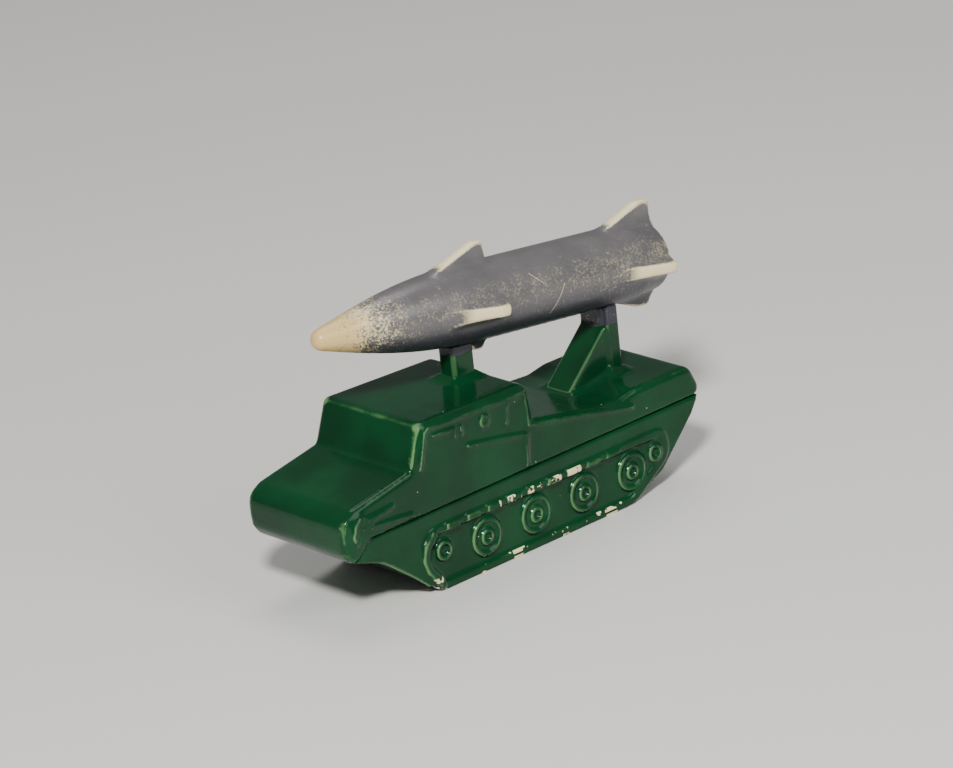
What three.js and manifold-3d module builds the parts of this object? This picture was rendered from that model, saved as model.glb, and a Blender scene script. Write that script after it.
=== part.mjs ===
// A small moulded toy: a tracked launcher vehicle carrying one finned missile on two posts.
// Millimetres, +Z up, +X towards the bow, +Y towards the vehicle's left side.
// The origin is on the ground, under the middle of the toy's overall length and width.

import * as THREE from 'three';
import { mergeVertices } from 'three/addons/utils/BufferGeometryUtils.js';
import Module from 'manifold-3d';

const wasm = await Module();
wasm.setup();

// Overall sizes
const LENGTH = 102.6; // bow to the missile's tail rim
const WIDTH = 29.8; // across the hull at the bow
const ROOF_HEIGHT = 36.4; // ground to the cabin roof's front edge
const MISSILE_RADIUS = 8.05;
const MISSILE_CLEARANCE = 5.4; // roof's height to the missile's underside, half way along it
const MISSILE_HEIGHT = ROOF_HEIGHT + MISSILE_CLEARANCE + MISSILE_RADIUS;
const MISSILE_LENGTH = 0.901 * LENGTH;
const MISSILE_PITCH = THREE.MathUtils.degToRad(6.5); // nose up

// Fits and walls
const GAP = 0.3; // between neighbouring pieces
const WALL = 1.8; // hull and missile shells
const PEG_CLEARANCE = 0.3; // between a peg and its hole, on the radius
const SIDE_ROUNDING = 1.3; // soft edge between the hull's sides and its top
const TAPER = 0.045; // the hull narrows by this share from bow to stern

// Hull, as shares of its length measured from its middle, and heights above the ground
const HULL_LENGTH = 0.972 * LENGTH;
const BOW_X = LENGTH / 2;
const HULL_MIDDLE_X = BOW_X - HULL_LENGTH / 2;
const GROOVE_HEIGHT = 0.475 * ROOF_HEIGHT; // joint between the hull and the track units
const BELLY_HEIGHT = 0.9;
const HOOD_FRONT_HEIGHT = 0.675 * ROOF_HEIGHT;
const HOOD_REAR_HEIGHT = 0.757 * ROOF_HEIGHT;
const DECK_HEIGHT = 0.665 * ROOF_HEIGHT;
const LEDGE_DROP = 0.8; // the low stretch of deck in front of the rear block
const ROOF_FALL = 0.9; // the roof is lower at its rear edge

// Track units
const TRACK_INNER_Y = 0.73 * WIDTH / 2;
const TRACK_FACE_Y = 0.955 * WIDTH / 2;
const BAY_DEPTH = 1.2;
const BAND_WIDTH = 1.7;
const BAND_RELIEF = 0.4;
const TRACK_HEIGHT = 0.8 * GROOVE_HEIGHT;
const WHEEL_RADIUS = 4.2;
const WHEEL_PITCH = 0.137 * HULL_LENGTH;
const WHEEL_COUNT = 4;
const LINK_PITCH = 0.056 * HULL_LENGTH;
const LINK_COUNT = 9;

const halfWidth = WIDTH / 2;
const alongHull = (share) => HULL_MIDDLE_X + share * HULL_LENGTH;
const taperAt = (x) => 1 - (TAPER * (BOW_X - x)) / LENGTH;

// Posts
const FRONT_POST_X = alongHull(0.035);
const FRONT_POST_LENGTH = 5.9;
const FRONT_POST_WIDTH = 4.8;
const REAR_POST_X = alongHull(-0.364);
const REAR_POST_THICKNESS = 3.5;
const REAR_POST_WIDTH = 8.4;
const BUTTRESS_WIDTH = 7.4;
const BUTTRESS_REACH = 12;
const BUTTRESS_SHARE = 0.76; // of the rear post's height
const TENON = 2.4;

const materials = {
  green: () => new THREE.MeshStandardMaterial({ color: 0x1d4d2d, roughness: 0.28, metalness: 0.0 }),
  silver: () => new THREE.MeshStandardMaterial({ color: 0x8e8a8b, roughness: 0.45, metalness: 0.4 }),
};

// --- solids -------------------------------------------------------------------------------

function solidOf(geometry) {
  const bare = geometry.clone();
  bare.deleteAttribute('normal');
  bare.deleteAttribute('uv');
  const merged = mergeVertices(bare, 1e-4);
  return new wasm.Manifold(new wasm.Mesh({
    numProp: 3,
    vertProperties: new Float32Array(merged.attributes.position.array),
    triVerts: new Uint32Array(merged.index.array),
  }));
}

function mirroredAcrossY(solid) {
  const mesh = solid.getMesh();
  const vertices = mesh.vertProperties.slice();
  for (let i = 1; i < vertices.length; i += 3) {
    vertices[i] = -vertices[i];
  }
  const triangles = mesh.triVerts.slice();
  for (let i = 0; i < triangles.length; i += 3) {
    [triangles[i], triangles[i + 1]] = [triangles[i + 1], triangles[i]];
  }
  return new wasm.Manifold(new wasm.Mesh({ numProp: 3, vertProperties: vertices, triVerts: triangles }));
}

function meshOf(name, solid, material) {
  const mesh = solid.getMesh();
  const geometry = new THREE.BufferGeometry();
  geometry.setAttribute('position', new THREE.BufferAttribute(new Float32Array(mesh.vertProperties), 3));
  geometry.setIndex(new THREE.BufferAttribute(new Uint32Array(mesh.triVerts), 1));
  geometry.computeVertexNormals();
  const object = new THREE.Mesh(geometry, material);
  object.name = name;
  return object;
}

function box(x0, x1, y0, y1, z0, z1) {
  const geometry = new THREE.BoxGeometry(x1 - x0, y1 - y0, z1 - z0);
  geometry.translate((x0 + x1) / 2, (y0 + y1) / 2, (z0 + z1) / 2);
  return solidOf(geometry);
}

function peg(radius, length, segments = 12) {
  // lies along +Y, starting at the origin
  const geometry = new THREE.CylinderGeometry(radius, radius, length, segments);
  geometry.translate(0, length / 2, 0);
  return geometry;
}

function sidePeg(x, y0, y1, z, radius) {
  return solidOf(peg(radius, y1 - y0).translate(x, y0, z));
}

function uprightPeg(x, y, z0, z1, radius) {
  return solidOf(peg(radius, z1 - z0).rotateX(Math.PI / 2).translate(x, y, z0));
}

// A side outline is a list of [x, z, corner radius], anticlockwise seen from the right side.
function roundedOutline(corners, arcSteps = 3) {
  const points = [];
  corners.forEach(([x, z, radius], i) => {
    const here = new THREE.Vector2(x, z);
    const before = new THREE.Vector2(...corners.at(i - 1)).sub(here);
    const after = new THREE.Vector2(...corners[(i + 1) % corners.length]).sub(here);
    const half = Math.acos(before.dot(after) / (before.length() * after.length())) / 2;
    const reach = Math.min(radius / Math.tan(half), before.length() * 0.48, after.length() * 0.48);
    if (radius <= 0 || reach < 0.05) {
      points.push(here);
      return;
    }
    const start = here.clone().add(before.setLength(reach));
    const end = here.clone().add(after.setLength(reach));
    const weight = Math.sin(half);
    for (let step = 0; step <= arcSteps; step += 1) {
      // a circular arc as a rational quadratic curve from start to end, pulled towards the corner
      const t = step / arcSteps;
      const a = (1 - t) * (1 - t);
      const b = 2 * weight * t * (1 - t);
      const c = t * t;
      points.push(start.clone().multiplyScalar(a).addScaledVector(here, b).addScaledVector(end, c)
        .divideScalar(a + b + c));
    }
  });
  return points;
}

function insetOutline(corners, distance) {
  // moves every side inwards; round corners keep their centre
  const count = corners.length;
  return corners.map(([x, z, radius], i) => {
    const [ax, az] = corners[(i + count - 1) % count];
    const [bx, bz] = corners[(i + 1) % count];
    const inA = new THREE.Vector2(az - z, x - ax).normalize();
    const inB = new THREE.Vector2(z - bz, bx - x).normalize();
    const turn = (x - ax) * (bz - z) - (z - az) * (bx - x);
    const scale = distance / (1 + inA.dot(inB));
    const newRadius = turn > 0 ? Math.max(radius - distance, 0.3) : radius + distance;
    return [x + (inA.x + inB.x) * scale, z + (inA.y + inB.y) * scale, newRadius];
  });
}

function sideSlab(points, y0, y1, rounding = 0, tapered = false) {
  // the outline, given in x and z, made solid from y0 to y1
  const geometry = new THREE.ExtrudeGeometry(new THREE.Shape(points), {
    depth: y1 - y0 - 2 * rounding,
    bevelEnabled: rounding > 0,
    bevelThickness: rounding,
    bevelSize: rounding,
    bevelOffset: -rounding,
    bevelSegments: 2,
  });
  geometry.translate(0, 0, rounding - y1);
  geometry.rotateX(Math.PI / 2);
  if (tapered) {
    const position = geometry.attributes.position;
    for (let i = 0; i < position.count; i += 1) {
      position.setY(i, position.getY(i) * taperAt(position.getX(i)));
    }
  }
  return solidOf(geometry);
}

function ridge(points, y, radius = 0.45) {
  // a half-sunk bead on the side of the hull, through points given as [x, z]
  const places = points.map(([x, z]) => new THREE.Vector3(x, y * taperAt(x), z));
  const curve = new THREE.CatmullRomCurve3(places, false, 'centripetal');
  const section = new THREE.Shape();
  section.absarc(0, 0, radius, 0, Math.PI * 2);
  const geometry = new THREE.ExtrudeGeometry(section, {
    steps: points.length - 1,
    curveSegments: 3,
    bevelEnabled: false,
    extrudePath: curve,
  });
  return solidOf(geometry);
}

const joined = (first, ...others) => others.reduce((sum, next) => sum.add(next), first);
const cut = (first, ...others) => others.reduce((rest, next) => rest.subtract(next), first);

// --- hull ---------------------------------------------------------------------------------

const cabinFrontX = alongHull(0.277);
const cabinRearX = alongHull(-0.02);
const hullCorners = [
  [alongHull(-0.315), BELLY_HEIGHT, 2],
  [alongHull(0.27), BELLY_HEIGHT, 2],
  [alongHull(0.405), 0.65 * GROOVE_HEIGHT, 12],
  [BOW_X - 1.6, 0.8 * GROOVE_HEIGHT, 2.5],
  [BOW_X, 0.94 * GROOVE_HEIGHT, 3],
  [BOW_X, HOOD_FRONT_HEIGHT - 2, 3.2],
  [BOW_X - 3.4, HOOD_FRONT_HEIGHT, 3.2],
  [alongHull(0.311), HOOD_REAR_HEIGHT, 0.8],
  [cabinFrontX, ROOF_HEIGHT, 1.7],
  [cabinRearX, ROOF_HEIGHT - ROOF_FALL, 1.7],
  [alongHull(-0.031), HOOD_REAR_HEIGHT - 0.2, 1],
  [alongHull(-0.21), DECK_HEIGHT - LEDGE_DROP + 0.4, 3],
  [alongHull(-0.27), DECK_HEIGHT - LEDGE_DROP, 4],
  [alongHull(-0.32), DECK_HEIGHT + 0.1, 3],
  [alongHull(-0.477), DECK_HEIGHT + 0.1, 2.6],
  [alongHull(-0.503), 0.52 * ROOF_HEIGHT, 2.6],
  [alongHull(-0.471), 0.78 * GROOVE_HEIGHT, 2],
];

// The joint under the hull runs level along the groove, then down and forward under the bow.
const jointBendX = alongHull(0.432);
const JOINT_SLOPE = 0.89;
const farX = LENGTH;

function beyondJoint(side) {
  // side is +1 for everything above the joint and -1 for everything below it
  const level = GROOVE_HEIGHT + (side * GAP) / 2;
  const bend = jointBendX + side * 0.06;
  const run = farX - bend;
  const limit = side > 0 ? 3 * ROOF_HEIGHT : -run * JOINT_SLOPE - 3 * ROOF_HEIGHT;
  const points = [
    new THREE.Vector2(-farX, level),
    new THREE.Vector2(bend, level),
    new THREE.Vector2(farX, level - run * JOINT_SLOPE),
    new THREE.Vector2(farX, limit),
    new THREE.Vector2(-farX, limit),
  ];
  return sideSlab(side > 0 ? points : points.reverse(), -WIDTH, WIDTH);
}

const aboveJoint = beyondJoint(1);
const belowJoint = beyondJoint(-1);
const hullOutside = sideSlab(roundedOutline(hullCorners), -halfWidth, halfWidth, SIDE_ROUNDING, true);
const hullInside = sideSlab(
  roundedOutline(insetOutline(hullCorners, WALL)),
  WALL - halfWidth,
  halfWidth - WALL,
  0,
  true,
);
const leftOfSeam = box(-farX, farX, GAP / 2, WIDTH, -1, 3 * ROOF_HEIGHT);

// Relief on the cabin's side: window frames, a plain round boss and panel lines
const sideZ = (share) => HOOD_REAR_HEIGHT + share * (ROOF_HEIGHT - HOOD_REAR_HEIGHT);
const sideX = (share) => cabinRearX + share * (cabinFrontX - cabinRearX);

function hullSideRelief() {
  const y = halfWidth;
  return [
    ridge([[sideX(0.93), sideZ(0.68)], [sideX(0.8), sideZ(0.66)], [sideX(0.7), sideZ(0.63)]], y),
    ridge([[sideX(0.7), sideZ(0.64)], [sideX(0.7), sideZ(0.4)]], y),
    ridge([[sideX(0.65), sideZ(0.64)], [sideX(0.64), sideZ(0.4)]], y),
    ridge([[sideX(0.22), sideZ(0.64)], [sideX(0.23), sideZ(0.2)]], y),
    ridge([[sideX(0.2), sideZ(0.66)], [sideX(0.05), sideZ(0.68)]], y),
    ridge([[sideX(0.6), sideZ(0.05)], [sideX(0.3), sideZ(-0.12)], [sideX(0.04), sideZ(-0.28)]], y),
    ridge([[sideX(0.04), sideZ(-0.3)], [sideX(0.07), GROOVE_HEIGHT + 1]], y),
    ridge([[BOW_X - 4.2, HOOD_FRONT_HEIGHT - 2.6], [alongHull(0.365), HOOD_FRONT_HEIGHT - 1.9]], y),
    ridge([[BOW_X - 4.6, HOOD_FRONT_HEIGHT - 4.4], [alongHull(0.305), GROOVE_HEIGHT + 1.2]], y),
    sidePeg(sideX(0.43), y * 0.9, y * taperAt(sideX(0.43)) + 0.35, sideZ(0.5), 1.4),
  ];
}

const seamPegs = [
  { x: sideX(0.48), z: sideZ(0.3) },
  { x: alongHull(-0.415), z: (GROOVE_HEIGHT + DECK_HEIGHT) / 2 },
  { x: alongHull(0.43), z: (GROOVE_HEIGHT + HOOD_FRONT_HEIGHT) / 2 },
];
const SEAM_PEG_RADIUS = 1.2;
const SEAM_PEG_LENGTH = 3;
const studs = [
  { x: alongHull(0.22), y: 0.5 * halfWidth },
  { x: alongHull(-0.25), y: 0.5 * halfWidth },
];
const STUD_RADIUS = 1.6;
const STUD_TOP = DECK_HEIGHT - LEDGE_DROP - WALL - 0.9;

function postSlots(inset) {
  // the openings in the roof and the deck that take the posts' lower tenons
  const half = TENON / 2 + inset;
  return [FRONT_POST_X, REAR_POST_X].map((x) =>
    box(x - half, x + half, -half, half, GROOVE_HEIGHT + 2.5, ROOF_HEIGHT + 5));
}

function hullHalf(hasPegs) {
  const bosses = [
    ...seamPegs.map(({ x, z }) => sidePeg(x, 0, halfWidth - 1, z, SEAM_PEG_RADIUS + 1.4)),
    ...studs.map(({ x, y }) => uprightPeg(x, y, GROOVE_HEIGHT + 0.6, ROOF_HEIGHT, STUD_RADIUS + 1.5)),
  ].map((boss) => boss.intersect(hullOutside));
  let shell = joined(hullOutside.subtract(hullInside), ...bosses, ...hullSideRelief());
  shell = shell.intersect(aboveJoint).intersect(leftOfSeam);
  shell = cut(shell, ...postSlots(GAP), ...studs.map(({ x, y }) =>
    uprightPeg(x, y, 0, STUD_TOP + 0.5, STUD_RADIUS + PEG_CLEARANCE)));
  if (hasPegs) {
    return joined(shell, ...seamPegs.map(({ x, z }) => sidePeg(x, -SEAM_PEG_LENGTH, 2, z, SEAM_PEG_RADIUS)));
  }
  return cut(shell, ...seamPegs.map(({ x, z }) =>
    sidePeg(x, -1, SEAM_PEG_LENGTH + 0.6, z, SEAM_PEG_RADIUS + PEG_CLEARANCE)));
}

// --- tub between the tracks ---------------------------------------------------------------

const tubHalfWidth = TRACK_INNER_Y - GAP;
const TUB_WALL = 1.6;
const sidePegs = [
  { x: alongHull(0.2), z: 0.45 * GROOVE_HEIGHT },
  { x: alongHull(-0.22), z: 0.45 * GROOVE_HEIGHT },
];
const SIDE_PEG_RADIUS = 1.5;

function baseTub() {
  const outside = sideSlab(roundedOutline(hullCorners), -tubHalfWidth, tubHalfWidth);
  const inner = tubHalfWidth - TUB_WALL;
  const inside = sideSlab(roundedOutline(insetOutline(hullCorners, TUB_WALL)), -inner, inner);
  let tub = outside.subtract(inside).intersect(belowJoint);
  for (const { x, y } of studs) {
    tub = tub.add(uprightPeg(x, y, BELLY_HEIGHT + 0.4, STUD_TOP, STUD_RADIUS));
    tub = tub.add(uprightPeg(x, -y, BELLY_HEIGHT + 0.4, STUD_TOP, STUD_RADIUS));
  }
  return cut(tub, ...sidePegs.map(({ x, z }) =>
    sidePeg(x, -WIDTH, WIDTH, z, SIDE_PEG_RADIUS + PEG_CLEARANCE)));
}

// --- track units --------------------------------------------------------------------------

const trackUnitCorners = [
  [alongHull(-0.28), 0, 3],
  [alongHull(0.26), 0, 2],
  [alongHull(0.405), 0.65 * GROOVE_HEIGHT, 12],
  [BOW_X - 1.6, 0.8 * GROOVE_HEIGHT, 2.5],
  [BOW_X, 0.94 * GROOVE_HEIGHT, 3],
  [BOW_X, ROOF_HEIGHT, 0],
  [alongHull(-0.496), ROOF_HEIGHT, 0],
  [alongHull(-0.496), GROOVE_HEIGHT, 1],
  [alongHull(-0.471), 0.8 * GROOVE_HEIGHT, 2],
  [alongHull(-0.375), 0.25 * GROOVE_HEIGHT, 4],
];
const trackLoopCorners = [
  [alongHull(-0.28), 0, 6],
  [alongHull(0.262), 0, 2.5],
  [alongHull(0.312), 0.55 * TRACK_HEIGHT, 5],
  [alongHull(0.285), TRACK_HEIGHT, 4],
  [alongHull(-0.385), TRACK_HEIGHT, 3],
  [alongHull(-0.397), 0.55 * TRACK_HEIGHT, 4],
];
const firstWheelX = alongHull(0.127);
const wheelHeight = 0.52 * TRACK_HEIGHT;

function disc(x, z, y0, y1, radius, rounding) {
  const shape = new THREE.Shape();
  shape.absarc(x, z, radius, 0, Math.PI * 2);
  return sideSlab(shape.getPoints(7).slice(0, -1), y0, y1, rounding);
}

function ring(x, z, y0, y1, radius, width) {
  const hole = solidOf(peg(radius - width, 8).translate(x, y1 - 0.6, z));
  return disc(x, z, y0, y1, radius, 0.3).subtract(hole);
}

function wheels() {
  const floor = TRACK_FACE_Y - BAY_DEPTH - 0.4;
  const solids = [];
  for (let i = 0; i < WHEEL_COUNT; i += 1) {
    const x = firstWheelX - i * WHEEL_PITCH;
    solids.push(disc(x, wheelHeight, floor, TRACK_FACE_Y - 0.2, WHEEL_RADIUS, 0.6));
    solids.push(ring(x, wheelHeight, floor, TRACK_FACE_Y + 0.4, 0.47 * WHEEL_RADIUS, 0.22 * WHEEL_RADIUS));
  }
  solids.push(ring(alongHull(0.243), 0.6 * TRACK_HEIGHT, floor, TRACK_FACE_Y + 0.3, 2.3, 0.9));
  solids.push(ring(alongHull(-0.352), 0.66 * TRACK_HEIGHT, floor, TRACK_FACE_Y + 0.3, 1.9, 0.8));
  return solids;
}

function trackUnit() {
  const body = sideSlab(roundedOutline(trackUnitCorners), TRACK_INNER_Y, TRACK_FACE_Y)
    .intersect(belowJoint);
  const loop = roundedOutline(trackLoopCorners, 4);
  const bay = roundedOutline(insetOutline(trackLoopCorners, BAND_WIDTH), 4);
  const band = sideSlab(loop, TRACK_FACE_Y - 1.5, TRACK_FACE_Y + BAND_RELIEF + 0.6, 0.6)
    .intersect(box(-farX, farX, 0, TRACK_FACE_Y + BAND_RELIEF, 0, ROOF_HEIGHT));
  const pocket = sideSlab(bay, TRACK_FACE_Y - BAY_DEPTH, TRACK_FACE_Y + 3);
  const links = [];
  for (let i = 0; i < LINK_COUNT; i += 1) {
    const x = alongHull(0.215) - i * LINK_PITCH;
    links.push(box(x - 1.9, x + 1.9, TRACK_FACE_Y - 1, TRACK_FACE_Y + BAND_RELIEF + 0.35,
      TRACK_HEIGHT - 1.5, TRACK_HEIGHT - 0.5));
  }
  const pegs = sidePegs.map(({ x, z }) =>
    sidePeg(x, tubHalfWidth - TUB_WALL - 2, TRACK_INNER_Y + 1, z, SIDE_PEG_RADIUS));
  return joined(body, band).subtract(pocket).add(joined(links[0], ...links.slice(1), ...wheels(), ...pegs));
}

// --- missile ------------------------------------------------------------------------------

const TAIL_RADIUS = 0.86 * MISSILE_RADIUS;
const NOSE_LENGTH = 0.43 * MISSILE_LENGTH;
const NOSE_TIP_RADIUS = 2.3;
const NOSE_BLUNTNESS = 0.242; // the nose curve starts at this share of the body's radius
const TOP_FIN_RADIUS = 1.56 * MISSILE_RADIUS;
const SIDE_FIN_RADIUS = 1.36 * MISSILE_RADIUS;
const BOTTOM_FIN_RADIUS = 1.27 * MISSILE_RADIUS;
const FIN_THICKNESS = 2.6;
const TOP = 0; // quarter turns from the top fin
const BOTTOM = 2;
const tailX = -LENGTH / 2 + TAIL_RADIUS * Math.sin(MISSILE_PITCH);
const middleX = tailX + (MISSILE_LENGTH / 2) * Math.cos(MISSILE_PITCH);
const tailZ = MISSILE_HEIGHT - (MISSILE_LENGTH / 2) * Math.sin(MISSILE_PITCH);
const axisHeightAt = (x) => MISSILE_HEIGHT + (x - middleX) * Math.tan(MISSILE_PITCH);

function noseRadius(fromTip) {
  const u = Math.min(fromTip / NOSE_LENGTH, 1);
  const ogive = MISSILE_RADIUS * (NOSE_BLUNTNESS + (1 - NOSE_BLUNTNESS) * (1 - (1 - u) ** 2) ** 1.2);
  if (fromTip >= NOSE_TIP_RADIUS) {
    return ogive;
  }
  return Math.min(ogive, Math.sqrt(NOSE_TIP_RADIUS ** 2 - (NOSE_TIP_RADIUS - fromTip) ** 2));
}

function bodyProfile(shrink, from, to) {
  // [radius, place along the axis from the tail], closed on the axis at both ends
  const places = [from, from + 0.25, from + 0.8, from + 4, from + 9];
  for (let i = 0; i <= 7; i += 1) {
    places.push(MISSILE_LENGTH - NOSE_LENGTH * (1 - i / 8));
  }
  for (const d of [2, 1, 0.3]) {
    places.push(MISSILE_LENGTH - d);
  }
  const radiusAt = (s) => {
    const tail = TAIL_RADIUS - 0.7 + Math.min(0.7, 0.7 * Math.sqrt(s / 0.8));
    const grown = tail + (MISSILE_RADIUS - TAIL_RADIUS) * Math.min(1, Math.max(0, s - 0.8) / 7);
    return Math.min(grown, noseRadius(MISSILE_LENGTH - s)) - shrink;
  };
  const points = [new THREE.Vector2(0, from)];
  for (const s of places) {
    if (s >= from && s < to) {
      points.push(new THREE.Vector2(radiusAt(s), s));
    }
  }
  if (shrink > 0) {
    points.push(new THREE.Vector2(radiusAt(to), to));
  }
  points.push(new THREE.Vector2(0, to));
  return points;
}

function turnedBody(points, segments = 26) {
  return solidOf(new THREE.LatheGeometry(points, segments).rotateZ(-Math.PI / 2));
}

function fin(rootFrom, rootTo, tipFrom, tipTo, tipRadius, turns) {
  const inner = 0.6 * MISSILE_RADIUS;
  const shape = new THREE.Shape([
    new THREE.Vector2(rootFrom, inner),
    new THREE.Vector2(rootTo, inner),
    new THREE.Vector2(tipTo, tipRadius),
    new THREE.Vector2(tipFrom, tipRadius),
  ]);
  const rounding = 0.45;
  const geometry = new THREE.ExtrudeGeometry(shape, {
    depth: FIN_THICKNESS - 2 * rounding,
    bevelThickness: rounding,
    bevelSize: rounding,
    bevelOffset: -rounding,
    bevelSegments: 1,
  });
  geometry.translate(0, 0, rounding - FIN_THICKNESS / 2);
  geometry.rotateX(Math.PI / 2 + (turns * Math.PI) / 2);
  return solidOf(geometry);
}

function placedOnPosts(geometryOrSolid) {
  const mesh = geometryOrSolid.getMesh();
  const turn = new THREE.Matrix4().makeRotationY(-MISSILE_PITCH);
  turn.setPosition(tailX, 0, tailZ);
  const vertices = mesh.vertProperties.slice();
  const place = new THREE.Vector3();
  for (let i = 0; i < vertices.length; i += 3) {
    place.set(vertices[i], vertices[i + 1], vertices[i + 2]).applyMatrix4(turn);
    vertices.set([place.x, place.y, place.z], i);
  }
  return new wasm.Manifold(new wasm.Mesh({ numProp: 3, vertProperties: vertices, triVerts: mesh.triVerts }));
}

const missileBody = turnedBody(bodyProfile(0, 0, MISSILE_LENGTH));
const missilePegs = [0.12 * MISSILE_LENGTH, 0.38 * MISSILE_LENGTH, 0.68 * MISSILE_LENGTH];
const NOZZLE_RADIUS = 0.5 * MISSILE_RADIUS;
const TAIL_WALL = 4;

function bottomFinRoom() {
  // the lower fins stop behind the posts
  const from = [FRONT_POST_X - FRONT_POST_LENGTH / 2, REAR_POST_X - REAR_POST_THICKNESS / 2];
  const low = -WIDTH;
  return [
    box(from[0] - GAP, LENGTH, -WIDTH, WIDTH, low, MISSILE_HEIGHT),
    box(from[1] - GAP, from[0] - 12, -WIDTH, WIDTH, low, MISSILE_HEIGHT),
  ];
}

function wholeMissile() {
  const fins = [];
  for (let turns = 0; turns < 4; turns += 1) {
    const upright = turns === TOP || turns === BOTTOM;
    const low = turns === BOTTOM ? BOTTOM_FIN_RADIUS : SIDE_FIN_RADIUS;
    const radius = turns === TOP ? TOP_FIN_RADIUS : low;
    // [rear end of the root, its length, tip's rear corner], as shares of the missile's length
    const sets = upright
      ? [[0.501, 0.2, 0.018], [0.003, 0.203, 0.007]]
      : [[0.511, 0.221, 0.018], [0.003, 0.258, 0.018]];
    const [front, rear] = sets.map(([start, root, tip]) => fin(
      start * MISSILE_LENGTH,
      (start + root) * MISSILE_LENGTH,
      (start + tip) * MISSILE_LENGTH,
      (start + 0.042) * MISSILE_LENGTH,
      radius,
      turns,
    ));
    const pair = placedOnPosts(front.add(rear));
    fins.push(turns === BOTTOM ? cut(pair, ...bottomFinRoom()) : pair);
  }
  return joined(placedOnPosts(missileBody), ...fins);
}

function missileHalf(hasPegs) {
  const cavity = turnedBody(bodyProfile(WALL, TAIL_WALL, MISSILE_LENGTH - 0.35 * NOSE_LENGTH));
  const nozzle = solidOf(new THREE.CylinderGeometry(NOZZLE_RADIUS - 0.8, NOZZLE_RADIUS, 4, 28)
    .rotateZ(-Math.PI / 2));
  const bosses = missilePegs.map((s) => sidePeg(s, 0, MISSILE_RADIUS, 0, SEAM_PEG_RADIUS + 1.3)
    .intersect(missileBody));
  const across = (from, to, radius) => missilePegs.map((s) => placedOnPosts(sidePeg(s, from, to, 0, radius)));
  let half = joined(cut(wholeMissile(), placedOnPosts(cavity), placedOnPosts(nozzle)),
    ...bosses.map(placedOnPosts));
  half = half.intersect(box(-LENGTH, LENGTH, GAP / 2, WIDTH, -WIDTH, 3 * ROOF_HEIGHT));
  if (hasPegs) {
    half = joined(half, ...across(-SEAM_PEG_LENGTH, 2, SEAM_PEG_RADIUS));
  } else {
    half = cut(half, ...across(-1, SEAM_PEG_LENGTH + 0.6, SEAM_PEG_RADIUS + PEG_CLEARANCE));
  }
  const slotHalf = TENON / 2 + GAP;
  const slots = [FRONT_POST_X, REAR_POST_X].map((x) => box(x - slotHalf, x + slotHalf,
    -slotHalf, slotHalf, axisHeightAt(x) - MISSILE_RADIUS - 6, axisHeightAt(x) - MISSILE_RADIUS + 3.4));
  return cut(half, ...slots);
}

// --- posts --------------------------------------------------------------------------------

const hullLifted = sideSlab(roundedOutline(hullCorners).map((p) => p.clone().setY(p.y + GAP)),
  -halfWidth, halfWidth);
const missileRoom = placedOnPosts(turnedBody([
  new THREE.Vector2(0, -1),
  new THREE.Vector2(MISSILE_RADIUS + GAP, -1),
  new THREE.Vector2(MISSILE_RADIUS + GAP, MISSILE_LENGTH),
  new THREE.Vector2(0, MISSILE_LENGTH),
]));

function tenons(x, surface) {
  // the lower tenon drops through the hull and the upper one enters the missile's underside
  const half = TENON / 2;
  const missileUnderside = axisHeightAt(x) - MISSILE_RADIUS;
  return box(x - half, x + half, -half, half, surface - WALL - 0.8, missileUnderside + 2.6);
}

function frontPost() {
  const x = FRONT_POST_X;
  const long = FRONT_POST_LENGTH / 2;
  const wide = FRONT_POST_WIDTH / 2;
  const corner = 0.6;
  const column = new THREE.Shape([
    new THREE.Vector2(corner - long, -wide),
    new THREE.Vector2(long - corner, -wide),
    new THREE.Vector2(long, corner - wide),
    new THREE.Vector2(long, wide - corner),
    new THREE.Vector2(long - corner, wide),
    new THREE.Vector2(corner - long, wide),
    new THREE.Vector2(-long, wide - corner),
    new THREE.Vector2(-long, corner - wide),
  ]);
  const flare = 1.5; // the column widens by this where it stands on the roof
  const shaft = new THREE.ExtrudeGeometry(column, {
    depth: MISSILE_HEIGHT - ROOF_HEIGHT + 3,
    bevelThickness: flare,
    bevelSize: -flare,
    bevelOffset: flare,
    bevelSegments: 3,
  });
  shaft.translate(x, 0, ROOF_HEIGHT - ROOF_FALL + flare);
  return cut(solidOf(shaft), hullLifted, missileRoom).add(tenons(x, ROOF_HEIGHT - ROOF_FALL));
}

function rearPost() {
  const x = REAR_POST_X;
  const back = x - REAR_POST_THICKNESS / 2;
  const front = x + REAR_POST_THICKNESS / 2;
  const underside = axisHeightAt(x) - MISSILE_RADIUS;
  const buttressTop = DECK_HEIGHT + BUTTRESS_SHARE * (underside - DECK_HEIGHT);
  const base = DECK_HEIGHT - 3;
  const slab = sideSlab([
    new THREE.Vector2(back, base),
    new THREE.Vector2(front, base),
    new THREE.Vector2(front, underside + 4),
    new THREE.Vector2(back, underside + 4),
  ], -REAR_POST_WIDTH / 2, REAR_POST_WIDTH / 2, 0.5);
  const wedge = sideSlab([
    new THREE.Vector2(x, base),
    new THREE.Vector2(front + BUTTRESS_REACH + 1, base),
    new THREE.Vector2(front + BUTTRESS_REACH, DECK_HEIGHT),
    new THREE.Vector2(front, buttressTop),
    new THREE.Vector2(x, buttressTop),
  ], -BUTTRESS_WIDTH / 2, BUTTRESS_WIDTH / 2, 0.4);
  return cut(joined(slab, wedge), hullLifted, missileRoom).add(tenons(x, DECK_HEIGHT));
}

// --- assembly -----------------------------------------------------------------------------

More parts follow.
